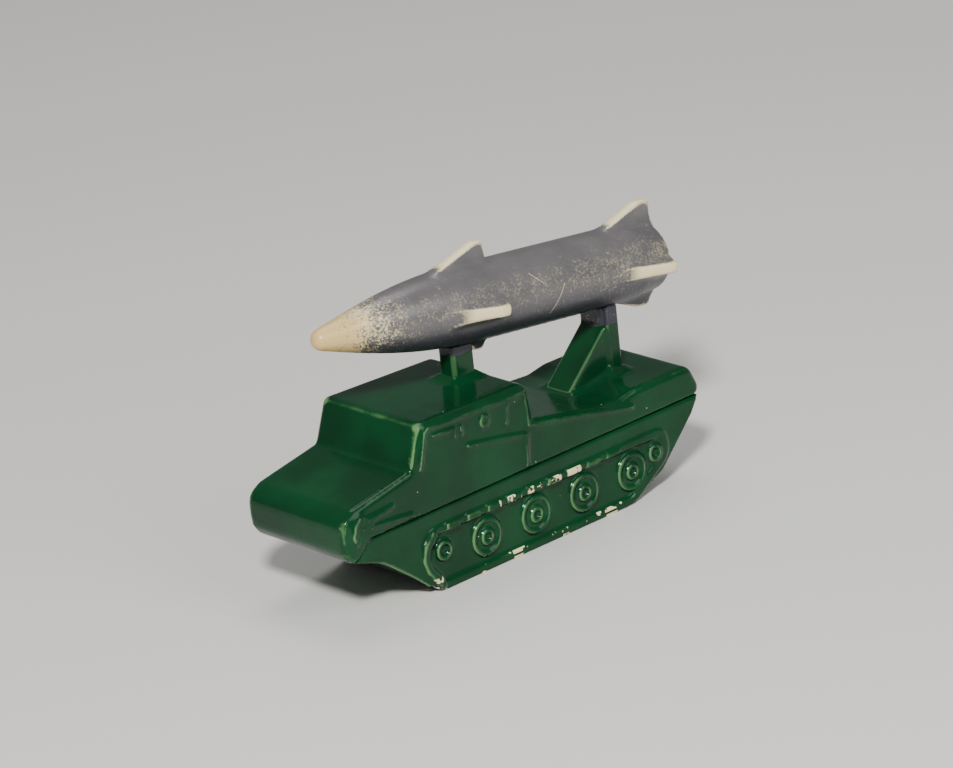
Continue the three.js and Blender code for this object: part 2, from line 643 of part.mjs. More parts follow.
const toy = new THREE.Group();
const rightHull = mirroredAcrossY(hullHalf(false));
const rightMissile = mirroredAcrossY(missileHalf(false));
const leftTrack = trackUnit();
toy.add(
  meshOf('hull_left_half', hullHalf(true), materials.green()),
  meshOf('hull_right_half', rightHull, materials.green()),
  meshOf('base_tub', baseTub(), materials.green()),
  meshOf('track_unit_left', leftTrack, materials.green()),
  meshOf('track_unit_right', mirroredAcrossY(leftTrack), materials.green()),
  meshOf('post_front', frontPost(), materials.green()),
  meshOf('post_rear', rearPost(), materials.green()),
  meshOf('missile_left_half', missileHalf(true), materials.silver()),
  meshOf('missile_right_half', rightMissile, materials.silver()),
);

export default toy;
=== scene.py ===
"""A pocket-size moulded toy: a tracked launcher vehicle that carries a finned missile on two posts.

X points to the bow, Y to the vehicle's left side and Z up. Sizes here are in millimetres, and MM
turns them into the metres that every mesh is in.
"""

import math

import bmesh
import bpy
import numpy as np
from mathutils import Matrix, Vector


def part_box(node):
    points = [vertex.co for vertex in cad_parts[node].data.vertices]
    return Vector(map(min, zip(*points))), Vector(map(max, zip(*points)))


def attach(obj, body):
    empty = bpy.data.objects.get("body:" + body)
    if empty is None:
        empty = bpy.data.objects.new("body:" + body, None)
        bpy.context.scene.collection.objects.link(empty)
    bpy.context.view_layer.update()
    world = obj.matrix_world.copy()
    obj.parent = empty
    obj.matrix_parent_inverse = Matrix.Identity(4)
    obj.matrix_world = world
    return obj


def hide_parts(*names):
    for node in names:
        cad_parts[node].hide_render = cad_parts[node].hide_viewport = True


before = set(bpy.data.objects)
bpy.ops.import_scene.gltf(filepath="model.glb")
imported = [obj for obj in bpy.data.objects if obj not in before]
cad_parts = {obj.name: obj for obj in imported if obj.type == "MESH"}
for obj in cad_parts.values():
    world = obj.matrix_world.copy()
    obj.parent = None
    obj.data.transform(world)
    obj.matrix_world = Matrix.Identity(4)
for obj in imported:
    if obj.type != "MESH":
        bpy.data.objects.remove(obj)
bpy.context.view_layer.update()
MM = 0.001

# ---------------------------------------------------------------- the toy's main sizes

LENGTH = 102.6
BOW_X = 51.3
HALF_WIDTH = 14.9
TAPER = 0.045          # share of its width that the hull loses from bow to stern
GROOVE_Z = 17.29       # the joint between the hull and the tracks
SIDES = ((1, "left"), (-1, "right"))
HALF_GAP = 0.004       # half the width of the joint between left and right mouldings

FIRST_LINK_X = 22.9
LINK_PITCH = 5.585
RAISED_LINKS = 7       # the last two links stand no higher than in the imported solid
LINK_HALF_LENGTH = 1.75
LINK_LOW, LINK_HIGH = 12.5, 13.8

MISSILE_RADIUS = 8.05
TAIL_RADIUS = 0.86 * MISSILE_RADIUS
MISSILE_LENGTH = 0.901 * LENGTH
MISSILE_HEIGHT = 49.85
MISSILE_PITCH = math.radians(6.5)

# the missile's own frame: X runs forward along its axis from the middle of its tail
missile_turn = Matrix.Rotation(MISSILE_PITCH, 3, "Y")
missile_tail = Vector((
    -LENGTH / 2 + TAIL_RADIUS * math.sin(MISSILE_PITCH),
    0,
    MISSILE_HEIGHT - MISSILE_LENGTH / 2 * math.sin(MISSILE_PITCH),
)) * MM
missile_place = Matrix.Translation(missile_tail) @ missile_turn.inverted().to_4x4()

# ---------------------------------------------------------------- camera and studio

VIEW_AZIMUTH = math.radians(49.5)      # from +X round towards +Y
VIEW_ELEVATION = math.radians(20.56)
VIEW_ROLL = math.radians(-6.2)
VIEW_DISTANCE = 0.977
VIEW_TARGET = Vector((0.35, 0, 32.6)) * MM
LENS_MM = 181.3
SENSOR_MM = 36


def direction(azimuth, elevation):
    """The way out from the toy to a camera or lamp at these angles, in radians."""
    return Vector((
        math.cos(azimuth) * math.cos(elevation),
        math.sin(azimuth) * math.cos(elevation),
        math.sin(elevation),
    ))


def make_camera():
    away = direction(VIEW_AZIMUTH, VIEW_ELEVATION)
    level = Vector((0, 0, 1)).cross(away).normalized()
    upright = away.cross(level)
    right = level * math.cos(VIEW_ROLL) + upright * math.sin(VIEW_ROLL)
    up = upright * math.cos(VIEW_ROLL) - level * math.sin(VIEW_ROLL)
    data = bpy.data.cameras.new("camera")
    data.sensor_width = SENSOR_MM
    data.lens = LENS_MM
    data.clip_start = 0.01
    camera = bpy.data.objects.new("camera", data)
    turn = Matrix((right, up, away)).transposed().to_4x4()
    camera.matrix_world = Matrix.Translation(VIEW_TARGET + away * VIEW_DISTANCE) @ turn
    bpy.context.collection.objects.link(camera)
    bpy.context.scene.camera = camera


def soft_light(name, azimuth, elevation, size, watts):
    """A round softbox a metre from the toy; its angles are in degrees and its size in metres."""
    away = direction(math.radians(azimuth), math.radians(elevation))
    data = bpy.data.lights.new(name, "AREA")
    data.shape = "DISK"
    data.size = size
    data.energy = watts
    light = bpy.data.objects.new(name, data)
    light.location = VIEW_TARGET + away
    light.rotation_euler = (-away).to_track_quat("-Z", "Y").to_euler()
    bpy.context.collection.objects.link(light)


# ---------------------------------------------------------------- materials

def srgb(code):
    """An sRGB hex colour as linear red, green, blue and alpha."""
    parts = [int(code[i:i + 2], 16) / 255 for i in (1, 3, 5)]
    linear = [c / 12.92 if c <= 0.04045 else ((c + 0.055) / 1.055) ** 2.4 for c in parts]
    return (*linear, 1)


GREEN = srgb("#083F21")
GREEN_DEEP = srgb("#06321A")
# pale green of the edges: partly paint rubbed thin, partly painted highlight
GREEN_RUBBED_AND_HIGHLIT = srgb("#6B9560")
SILVER = srgb("#757272")
# dark silver: painted shade under the missile, and darker random patches of tone
SILVER_PAINTED_SHADE_AND_PATCH = srgb("#3E3E47")
CREAM = srgb("#E8D9AC")
CREAM_DULL = srgb("#948C73")
CREAM_NOSE = srgb("#D3B577")
BOARD_GREY = srgb("#DAD8D3")
SKY_GREY = srgb("#E6E7EA")

COLOURS = {"data_type": "RGBA"}
SMOOTH = {"interpolation_type": "SMOOTHSTEP"}
BUMP_FILTER = 0.1      # the Bump node's own default
FLAKE_METAL = 0.35     # aluminium flakes in varnish are only partly metallic


def add(tree, kind, *inputs, output=None, **settings):
    """Adds one shader node with its settings, and fills its live inputs in their order.

    An input is a number, a colour or another node's output. Gives back the output of that name, or
    else the first.
    """
    node = tree.nodes.new("ShaderNode" + kind)
    for setting, value in settings.items():
        setattr(node, setting, value)
    for socket, value in zip([s for s in node.inputs if s.enabled], inputs):
        if isinstance(value, bpy.types.NodeSocket):
            tree.links.new(value, socket)
        else:
            socket.default_value = value
    live = [s for s in node.outputs if s.enabled]
    return next(s for s in live if output in (None, s.name))


def new_material(name):
    """A material with its node tree, its shader, and where each point is on the toy."""
    material = bpy.data.materials.new(name)
    material.use_nodes = True
    tree = material.node_tree
    return material, tree, tree.nodes["Principled BSDF"], add(tree, "TexCoord", output="Object")


def link_up(tree, surface, outputs):
    """Feeds the shader's inputs, by their names, from other nodes' outputs."""
    for name, output in outputs.items():
        tree.links.new(output, surface.inputs[name])


def green_paint(tree, place, wear):
    """Colour, brush marks and edge sharpness of green enamel that is pale along its edges, partly
    rubbed and partly painted highlight.

    wear is how pale the most rubbed edges are, from 0 to 1, painted highlight included.
    """
    edge = add(tree, "Attribute", output="Fac", attribute_name="edge")
    # bristle marks of 0.9 mm, thinner patches of 5 mm, and pools of 14 mm where it ran together
    marks = add(tree, "TexNoise", place, 1 / (0.9 * MM), 5, 0.7)
    patches = add(tree, "TexNoise", place, 1 / (5 * MM), 4, 0.5)
    pools = add(tree, "TexNoise", place, 1 / (14 * MM), 3, 0.5)
    depth = add(tree, "MapRange", pools, 0.35, 0.7, **SMOOTH)
    colour = add(tree, "Mix", depth, GREEN_DEEP, GREEN, **COLOURS)
    # paint rubs through on the sharpest edges first, and sooner where it was thin to begin with;
    # the pale green there is partly worn paint and partly painted highlight
    thin = add(tree, "Math", patches, 0.45, edge, operation="MULTIPLY_ADD")
    thin = add(tree, "Math", marks, 0.15, thin, operation="MULTIPLY_ADD")
    rubbed = add(tree, "MapRange", thin, 0.8, 1.25, 0.0, wear, **SMOOTH)
    return add(tree, "Mix", rubbed, colour, GREEN_RUBBED_AND_HIGHLIT, **COLOURS), marks, edge


def link_chips(tree, place, along, height):
    """1 where paint has chipped off the track's raised links, mostly where the toy is held."""
    from_first = add(tree, "Math", along, FIRST_LINK_X * MM, operation="SUBTRACT")
    from_link = add(tree, "Math", from_first, LINK_PITCH / 2 * MM, operation="PINGPONG")
    on_link = held = 1.0
    for value, outside, inside in (
            (height, LINK_LOW - 0.3, LINK_LOW + 0.1),
            (height, LINK_HIGH + 0.8, LINK_HIGH + 0.3),
            (from_link, LINK_HALF_LENGTH + 0.35, LINK_HALF_LENGTH - 0.05)):
        within = add(tree, "MapRange", value, outside * MM, inside * MM, **SMOOTH)
        on_link = add(tree, "Math", on_link, within, operation="MULTIPLY")
    for outside, inside in ((14, 8), (-15, -13)):
        within = add(tree, "MapRange", along, outside * MM, inside * MM, **SMOOTH)
        held = add(tree, "Math", held, within, operation="MULTIPLY")
    flakes = add(tree, "TexNoise", place, 1 / (2 * MM), 3, 0.6)
    flakes = add(tree, "Math", held, 0.25, flakes, operation="MULTIPLY_ADD")
    flakes = add(tree, "MapRange", flakes, 0.72, 0.75, **SMOOTH)
    return add(tree, "Math", on_link, flakes, operation="MULTIPLY")


def ground_chips(tree, place, height):
    """1 in larger, scattered flakes along the edge that the toy is pushed about on."""
    low = add(tree, "MapRange", height, 3.6 * MM, 3.2 * MM, **SMOOTH)
    flakes = add(tree, "TexNoise", place, 1 / (4.5 * MM), 3, 0.6)
    flakes = add(tree, "MapRange", flakes, 0.585, 0.61, **SMOOTH)
    return add(tree, "Math", low, flakes, operation="MULTIPLY")


def make_green_enamel():
    """Gloss enamel, brushed by hand over cream polystyrene.

    It looks deep and wet, with soft brush waves in its reflections, pale green along its edges,
    which is partly rubbed paint and partly painted highlight, and cream where it has chipped.
    """
    material, tree, surface, place = new_material("green_gloss_enamel")
    colour, marks, edge = green_paint(tree, place, 0.65)
    along, _, height = add(tree, "SeparateXYZ", place).node.outputs
    chipped = add(tree, "Math", link_chips(tree, place, along, height),
                  ground_chips(tree, place, height), operation="MAXIMUM")
    exposed = add(tree, "MapRange", edge, 0.2, 0.3, **SMOOTH)
    chipped = add(tree, "Math", chipped, exposed, operation="MULTIPLY")
    # single grains of dust caught in the paint, 3.5 mm apart, drawn as coarse as they need to show;
    # their cream dots are partly dust and partly painted glint
    cell = add(tree, "TexVoronoi", place, 1 / (3.5 * MM)).node.outputs
    grain = add(tree, "Math", cell["Distance"], 0.035, operation="LESS_THAN")
    chance = add(tree, "SeparateColor", cell["Color"])
    dust_and_glint = add(tree, "Math", chance, 0.55, operation="GREATER_THAN")
    dust_and_glint = add(tree, "Math", dust_and_glint, grain, operation="MULTIPLY")
    dust_and_glint = add(tree, "Math", dust_and_glint, 0.6, operation="MULTIPLY")
    colour = add(tree, "Mix", dust_and_glint, colour, CREAM, **COLOURS)
    colour = add(tree, "Mix", chipped, colour, CREAM, **COLOURS)
    rough = add(tree, "Math", marks, 0.14, 0.07, operation="MULTIPLY_ADD")
    rough = add(tree, "Math", chipped, 0.3, rough, operation="MULTIPLY_ADD")
    waves = add(tree, "TexNoise", place, 1 / (3 * MM), 2, 0.5)
    relief = add(tree, "Math", marks, 0.15, waves, operation="MULTIPLY_ADD")
    relief = add(tree, "Math", chipped, -0.6, relief, operation="MULTIPLY_ADD")
    bump = add(tree, "Bump", 0.35, 0.12 * MM, BUMP_FILTER, relief)
    link_up(tree, surface, {"Base Color": colour, "Roughness": rough, "Normal": bump})
    surface.inputs["IOR"].default_value = 1.5
    surface.inputs["Specular IOR Level"].default_value = 0.22
    return material


def silver_paint(tree, place, rubbing):
    """Colour, bareness and speckle of thin aluminium paint that has worn to cream, with painted
    shade on its underside.

    rubbing is how much of it has gone from the sharpest edges, from 0 to 1. Gives back each
    point's place in the missile's own frame as well.
    """
    own = add(tree, "Mapping", place, -(missile_turn @ missile_tail), (0, MISSILE_PITCH, 0))
    split = add(tree, "SeparateXYZ", own).node.outputs
    edge = add(tree, "Attribute", output="Fac", attribute_name="edge")
    # speckles of 0.5 mm, coarser than the real flakes so that they show, in clumps and patches
    speckle = add(tree, "TexNoise", place, 1 / (0.5 * MM), 4, 0.75)
    clumps = add(tree, "TexNoise", place, 1 / (2.6 * MM), 3, 0.6)
    patches = add(tree, "TexNoise", place, 1 / (8 * MM), 3, 0.55)
    # the paint is thinnest along the upper flank, at the tail and on the nose, and thick
    # underneath, where it wears least; high also darkens the underside as painted shade
    high, crown, tail, nose = (
        add(tree, "MapRange", split[axis], start * MM, end * MM, **SMOOTH)
        for axis, start, end in (("Z", -6, 2), ("Z", 7, 3.5), ("X", 34, 6), ("X", 58, 92)))
    # painted shade: the silver darkens towards the underside, with random darker patches above
    shade = add(tree, "Math", patches, 0.7, 0.45, operation="MULTIPLY_ADD")
    shade = add(tree, "Math", shade, high, operation="MULTIPLY")
    paint = add(tree, "Mix", shade, SILVER_PAINTED_SHADE_AND_PATCH, SILVER, **COLOURS)
    flank = add(tree, "Math", high, crown, operation="MULTIPLY")
    nose_tip = add(tree, "Math", nose, 2.5, operation="POWER")
    rubbed = add(tree, "MapRange", edge, 0.2, 0.75, **SMOOTH)
    # every kind of wear adds up, and the speckle decides which flakes have gone
    worn = 0.0
    for wear, share in ((nose_tip, 0.42), (rubbed, rubbing), (tail, 0.06), (flank, 0.17),
                        (clumps, 0.55), (speckle, 1.6)):
        worn = add(tree, "Math", wear, share, worn, operation="MULTIPLY_ADD")
    cream = add(tree, "MapRange", worn, 1.25, 1.5, **SMOOTH)
    # bare plastic is clean on edges and nose, yellowed on the nose, and grimy between the flakes
    clean = [add(tree, "MapRange", value, 0.3, 0.8, **SMOOTH) for value in (edge, nose)]
    clean = add(tree, "Math", *clean, operation="MAXIMUM")
    yellowed = add(tree, "MapRange", nose, 0.6, 0.95, **SMOOTH)
    plastic = add(tree, "Mix", yellowed, CREAM, CREAM_NOSE, **COLOURS)
    plastic = add(tree, "Mix", clean, CREAM_DULL, plastic, **COLOURS)
    return add(tree, "Mix", cream, paint, plastic, **COLOURS), cream, speckle, own


# the ends of each scratch, in x and z of the missile's own frame
SCRATCHES = (((31.6, 1.7), (34.8, -4.3)), ((40.1, 5.0), (37.0, 2.6)))
SCRATCH_HALF_WIDTH = 0.11


def scratch(tree, own, ends):
    """1 along a thin straight scratch on the missile's left flank."""
    start, end = (Vector((x, 0, z)) for x, z in ends)
    run = (end - start).normalized()
    across = Vector((run.z, 0, -run.x))
    from_middle = add(tree, "VectorMath", own, (start + end) / 2 * MM, operation="SUBTRACT")
    left = add(tree, "SeparateXYZ", own, output="Y")
    inside = add(tree, "Math", left, 0.0, operation="GREATER_THAN")
    for way, reach in ((run, (end - start).length / 2), (across, SCRATCH_HALF_WIDTH)):
        off = add(tree, "VectorMath", from_middle, way, operation="DOT_PRODUCT")
        off = add(tree, "Math", off, operation="ABSOLUTE")
        within = add(tree, "Math", off, reach * MM, operation="LESS_THAN")
        inside = add(tree, "Math", inside, within, operation="MULTIPLY")
    return inside


def make_silver_enamel():
    """Aluminium paint, brushed thinly over cream polystyrene.

    It looks half-matt and grey, with painted shade underneath and cream speckles that close up to
    bare plastic on the nose and on the fins' edges.
    """
    material, tree, surface, place = new_material("worn_silver_enamel")
    colour, cream, speckle, own = silver_paint(tree, place, 0.7)
    for ends in SCRATCHES:
        cut = add(tree, "Math", scratch(tree, own, ends), speckle, operation="MULTIPLY")
        colour = add(tree, "Mix", cut, colour, CREAM, **COLOURS)
    metal = add(tree, "Math", cream, -FLAKE_METAL, FLAKE_METAL, operation="MULTIPLY_ADD")
    rough = add(tree, "Math", speckle, 0.25, 0.2, operation="MULTIPLY_ADD")
    relief = add(tree, "Math", speckle, 0.5, operation="MULTIPLY")
    relief = add(tree, "Math", cream, -0.4, relief, operation="MULTIPLY_ADD")
    bump = add(tree, "Bump", 0.4, 0.1 * MM, BUMP_FILTER, relief)
    link_up(tree, surface, {
        "Base Color": colour, "Metallic": metal, "Roughness": rough, "Normal": bump})
    return material


def make_post_enamel(boundary):
    """Green gloss enamel, with the missile's aluminium paint run down over the top of the post.

    boundary is the height in metres where the one colour gives way to the other in a wavy line.
    """
    material, tree, surface, place = new_material("green_enamel_with_silver_top")
    green_coat = green_paint(tree, place, 0.28)[0]
    silver_coat = silver_paint(tree, place, 0.0)[0]
    height = add(tree, "SeparateXYZ", place, output="Z")
    wobble = add(tree, "TexNoise", place, 1 / (4 * MM), 1, 0.5)
    height = add(tree, "Math", wobble, 2 * MM, height, operation="MULTIPLY_ADD")
    top = add(tree, "MapRange", height, boundary + 0.9 * MM, boundary + 1.1 * MM, **SMOOTH)
    colour = add(tree, "Mix", top, green_coat, silver_coat, **COLOURS)
    metal = add(tree, "Math", top, FLAKE_METAL, operation="MULTIPLY")
    rough = add(tree, "Math", top, 0.15, 0.16, operation="MULTIPLY_ADD")
    waves = add(tree, "TexNoise", place, 1 / (3 * MM), 3, 0.5)
    relief = add(tree, "Math", waves, top, operation="ADD")
    bump = add(tree, "Bump", 0.35, 0.12 * MM, BUMP_FILTER, relief)
    link_up(tree, surface, {
        "Base Color": colour, "Metallic": metal, "Roughness": rough, "Normal": bump})
    surface.inputs["Specular IOR Level"].default_value = 0.3
    return material


# ---------------------------------------------------------------- shaping

CYLINDER_SIDES = 12
HOOP_SIDES = 10
HOOP_STEPS = 40


def start_from(*nodes):
    """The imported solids' own shapes, merged, as the start of a finer piece."""
    shape = bmesh.new()
    for node in nodes:
        shape.from_mesh(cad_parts[node].data)
    bmesh.ops.remove_doubles(shape, verts=shape.verts, dist=0.002 * MM)
    return shape


def bead(shape, points, radius):
    """A round-ended rod through points; half sunk, it is a moulded rib."""
    for point in points:
        place = Matrix.Translation(Vector(point) * MM)
        bmesh.ops.create_icosphere(shape, subdivisions=2, radius=radius * MM, matrix=place)
    for start, end in zip(points, points[1:]):
        run = Vector(end) - Vector(start)
        middle = (Vector(start) + Vector(end)) / 2 * MM
        turn = run.to_track_quat("Z", "Y").to_matrix().to_4x4()
        bmesh.ops.create_cone(
            shape, cap_ends=True, segments=CYLINDER_SIDES, radius1=radius * MM,
            radius2=radius * MM, depth=run.length * MM, matrix=Matrix.Translation(middle) @ turn)


def plate(shape, outline, y_from, y_to):
    """A flat-sided plate, whose outline is given in x and z. Gives back its points."""
    face = shape.faces.new([shape.verts.new(Vector((x, y_from, z)) * MM) for x, z in outline])
    grown = bmesh.ops.extrude_face_region(shape, geom=[face], use_keep_orig=True)["geom"]
    moved = [item for item in grown if isinstance(item, bmesh.types.BMVert)]
    bmesh.ops.translate(shape, verts=moved, vec=Vector((0, y_to - y_from, 0)) * MM)
    return list(face.verts) + moved


def hoop(shape, centre, radius, thickness):
    """A round-section ring that faces sideways, such as a wheel's rim."""
    section = bmesh.ops.create_circle(
        shape, cap_ends=False, segments=HOOP_SIDES, radius=thickness * MM)["verts"]
    bmesh.ops.translate(shape, verts=section, vec=(Vector(centre) + Vector((radius, 0, 0))) * MM)
    loop = list({edge for vert in section for edge in vert.link_edges})
    bmesh.ops.spin(
        shape, geom=section + loop, cent=Vector(centre) * MM, axis=(0, 1, 0),
        angle=2 * math.pi, steps=HOOP_STEPS, use_merge=True)


def skin_over(name, shape, voxel):
    """Joins overlapping solids into one even skin, whose faces are about a voxel across."""
    bmesh.ops.recalc_face_normals(shape, faces=shape.faces)
    mesh = bpy.data.meshes.new(name)
    shape.to_mesh(mesh)
    shape.free()
    rough = bpy.data.objects.new(name + "_rough", mesh)
    bpy.context.collection.objects.link(rough)
    remesh = rough.modifiers.new("skin", "REMESH")
    remesh.mode = "VOXEL"
    remesh.voxel_size = voxel * MM
    finished = rough.evaluated_get(bpy.context.evaluated_depsgraph_get())
    skin = bpy.data.meshes.new_from_object(finished)
    bpy.data.objects.remove(rough)
    work = bmesh.new()
    work.from_mesh(skin)
    bpy.data.meshes.remove(skin)
    return work


def bends(work):
    """How sharply each point bulges, per metre; hollows are negative."""
    work.verts.index_update()
    work.normal_update()
    places = np.array([v.co for v in work.verts])
    normals = np.array([v.normal for v in work.verts])
    a, b = np.array([(e.verts[0].index, e.verts[1].index) for e in work.edges]).T
    step = places[a] - places[b]
    bend = ((normals[a] - normals[b]) * step).sum(1) / np.maximum((step ** 2).sum(1), 1e-12)
    count = len(places)
    degree = np.maximum(np.bincount(a, minlength=count) + np.bincount(b, minlength=count), 1)
    for _ in range(3):
        point = (np.bincount(a, bend, count) + np.bincount(b, bend, count)) / degree
        bend = (point[a] + point[b]) / 2
    return point


def relax(work, verts, rounds):
    """Rounds corners off, a little more with each round."""
    for _ in range(rounds):
        bmesh.ops.smooth_vert(
            work, verts=verts, factor=0.5, use_axis_x=True, use_axis_y=True, use_axis_z=True)


def soften_joint(work):
    """Rounds the two lips of the joint between hull and tracks, which thick paint has blurred."""
    lips = [
        v for v in work.verts
        if abs(v.co.z / MM - GROOVE_Z) < 0.85 and abs(v.co.y) > (HALF_WIDTH - 2.9) * MM]
    relax(work, lips, rounds=12)


def fill_hollows(work, depth, rounds):
    """Rounds out inside corners, as the fillets of a moulding and its thick paint do.

    A corner counts when it bends inwards by more than depth, per metre.
    """
    hollow = bends(work) < -depth
    chosen = {v for v, inside in zip(work.verts, hollow) if inside}
    for _ in range(3):
        chosen |= {edge.other_vert(v) for v in chosen for edge in v.link_edges}
    relax(work, list(chosen), rounds)


EDGE_BEND = 450  # per metre: the mean bend of an edge rounded to about a millimetre


def mark_edges(work, extra=None):
    """Stores each point's bulge as the attribute edge: paint rubs off there, at the front most, and
    the paler forward-facing edges are partly painted highlight.

    extra is a second value for each point, and the higher of the two is kept.
    """
    layer = work.verts.layers.float.new("edge")
    sharpness = np.clip(bends(work) / EDGE_BEND, 0, 1)
    xs, ys, heights = np.array([v.co for v in work.verts]).T / MM
    forward = np.clip([v.normal.x for v in work.verts], 0, 1)
    # forward-facing edges get paler: partly wear at the front, partly painted highlight
    sharpness *= 0.56 + 0.6 * forward
    # the lips of the joint above the tracks and the edges next to the ground are sheltered
    sharpness *= np.interp(np.abs(heights - GROOVE_Z), [0.6, 1.4], [0.45, 1])
    sharpness *= np.interp(heights, [0.5, 1.6], [0.55, 1])
    # the bow's round corners bend both ways, but are no more worn for that
    corner = np.interp(xs, [44, 47], [0, 0.3]) * (np.abs(ys) < HALF_WIDTH - 0.3)
    sharpness *= 1 - corner
    if extra is not None:
        sharpness = np.maximum(sharpness, extra)
    for vert, value in zip(work.verts, sharpness):
        vert[layer] = value


def half_of(work, side):
    """One side of a shape that splits along the toy's middle, closed flat along the joint."""
    half = work.copy()
    geometry = half.verts[:] + half.edges[:] + half.faces[:]
    bmesh.ops.bisect_plane(
        half, geom=geometry, dist=0.001 * MM, plane_co=(0, side * HALF_GAP * MM, 0),
        plane_no=(0, side, 0), clear_inner=True)
    rim = [edge for edge in half.edges if edge.is_boundary]
    bmesh.ops.triangle_fill(
        half, use_beauty=True, use_dissolve=False, edges=rim, normal=(0, -side, 0))
    for edge in rim:
        edge.smooth = False
    return half


def finish(name, work, node, material):
    """Makes a shape the toy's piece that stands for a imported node."""
    for face in work.faces:
        face.smooth = True
    mesh = bpy.data.meshes.new(name)
    work.to_mesh(mesh)
    work.free()
    mesh.materials.append(material)
    piece = bpy.data.objects.new(name, mesh)
    bpy.context.collection.objects.link(piece)
    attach(piece, "root")
    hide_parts(node)


def finish_halves(word, work, material):
    """Splits a shape into its left and right mouldings."""
    for side, hand in SIDES:
        name = f"{word}_{hand}"
        finish(f"{name}_moulding", half_of(work, side), f"{name}_half", material)
    work.free()


# ---------------------------------------------------------------- hull

# outlines and ribs on the hull's side, in x and z
SIDE_PANEL = (
    (-46.5, 17.9), (48.4, 17.9), (48.9, 19.4), (48.3, 21.3), (46.9, 22.5), (31.4, 26.0),
    (30.1, 27.3), (28.0, 34.3), (27.0, 35.0), (1.4, 34.1), (0.8, 33.4), (0.5, 26.8), (-3.1, 26.1),
    (-13.6, 24.1), (-24.5, 21.8), (-33.0, 20.2), (-46.5, 18.9),
)
BOW_CHEEK = SIDE_PANEL[1:5]
CABIN_AND_DECK_LINE = SIDE_PANEL[6:-2] + ((-28.5, 21.0),)
SIDE_RIBS = (
    CABIN_AND_DECK_LINE,
    ((26.0, 33.2), (23.1, 33.0), (20.2, 32.7), (20.2, 30.9)),
    ((18.6, 32.8), (18.4, 30.9)),
    ((6.0, 32.6), (6.3, 29.3)),
    ((17.2, 28.0), (8.3, 26.5), (1.6, 25.2)),
    ((1.6, 25.0), (1.9, 18.6)),
)
BOW_RIDGES = (((44.8, 21.3), (38.5, 22.4)), ((44.3, 19.9), (33.5, 18.9)))
RIB_RADIUS = 0.5
RIDGE_RADIUS = 0.8
BOSS_X, BOSS_Z = 12.2, 31.7
BOSS_RADIUS = 1.0

# each post's foot: its ends along the toy, half its width, and a height just below where it stands
POST_FEET = ((2.0, 7.9, 2.4, 34), (-36.6, -33.1, 4.2, 22), (-33.1, -22.8, 3.7, 22))
FILLET_REACH = 3.0     # how far the paint-filled hollow spreads round a foot, and how high it rises
FILLET_RISE = 1.3

SEAM_OVERLAP = 0.3     # how far each half runs past the middle before the two are made one
SEAM_REACH = 0.5       # the dip along the closed seam: how far it spreads, and how deep it is
SEAM_DIP = 0.015


def taper_at(x):
    """How wide the hull is at a place along it, as a share of its width at the bow."""
    return 1 - TAPER * (BOW_X - x) / LENGTH


def add_side_relief(shape, side):
    """The raised panel, ribs, ridges and boss on one side of the hull."""
    def on_side(outline, proud):
        return [(x, side * (HALF_WIDTH + proud) * taper_at(x), z) for x, z in outline]

    panel = plate(shape, SIDE_PANEL, side * (HALF_WIDTH - 1), side * (HALF_WIDTH + 0.1))
    for vert in panel:
        vert.co.y *= taper_at(vert.co.x / MM)
    for rib in SIDE_RIBS:
        bead(shape, on_side(rib, 0.15), RIB_RADIUS)
    bead(shape, [(x, side * (HALF_WIDTH + 0.1), z) for x, z in BOW_CHEEK], RIDGE_RADIUS)
    for ridge in BOW_RIDGES:
        bead(shape, on_side(ridge, -0.2), RIDGE_RADIUS)
    boss, = on_side([(BOSS_X, BOSS_Z)], 0.35)
    hoop(shape, boss, BOSS_RADIUS, RIB_RADIUS)


def swell_feet(work):
    """Runs the roof and the deck up to the posts in a smooth hollow curve."""
    places = np.array([v.co for v in work.verts]) / MM
    tops = np.array([v.normal.z for v in work.verts]) > 0.5
    work.verts.ensure_lookup_table()
    for low_x, high_x, half_width, lowest in POST_FEET:
        out_x = np.maximum(np.maximum(low_x - places[:, 0], places[:, 0] - high_x), 0)
        out_y = np.maximum(np.abs(places[:, 1]) - half_width, 0)
        near = np.clip(1 - np.hypot(out_x, out_y) / FILLET_REACH, 0, 1)
        rise = FILLET_RISE * near ** 2 * (tops & (places[:, 2] > lowest))
        for i in np.nonzero(rise)[0]:
            work.verts[i].co.z += rise[i] * MM


def make_hull():
    shape = start_from("hull_left_half", "hull_right_half")
    for vert in shape.verts:
        if abs(vert.co.y) < 0.2 * MM:
            vert.co.y = math.copysign(SEAM_OVERLAP * MM, -vert.co.y)
    for side, _ in SIDES:
        add_side_relief(shape, side)
    work = skin_over("hull", shape, voxel=0.3)
    relax(work, work.verts[:], rounds=4)
    fill_hollows(work, depth=150, rounds=6)
    soften_joint(work)
    work.normal_update()
    swell_feet(work)
    # the middle joint shows only as a faint dip
    for vert in work.verts:
        off_seam = abs(vert.co.y) / (SEAM_REACH * MM)
        if off_seam < 1:
            vert.co -= vert.normal * SEAM_DIP * MM * (1 - off_seam)
    mark_edges(work)
    finish_halves("hull", work, green)


# ---------------------------------------------------------------- tracks

TRACK_FACE_Y = 14.23
WHEEL_X = (14.1, 0.44, -13.22, -26.88)
WHEEL_Z = 7.19
# rings on the track's face: their middle in x and z, how proud they stand, radius and thickness
WHEEL_RINGS = tuple(
    ring for x in WHEEL_X
    for ring in ((x, WHEEL_Z, -0.05, 3.6, 0.62), (x, WHEEL_Z, 0.3, 1.35, 0.5)))
IDLER_RING = (-33.66, 9.1, 0.35, 1.5, 0.5)
SPROCKET_RING = (25.7, 8.3, 0.2, 1.7, 0.5)

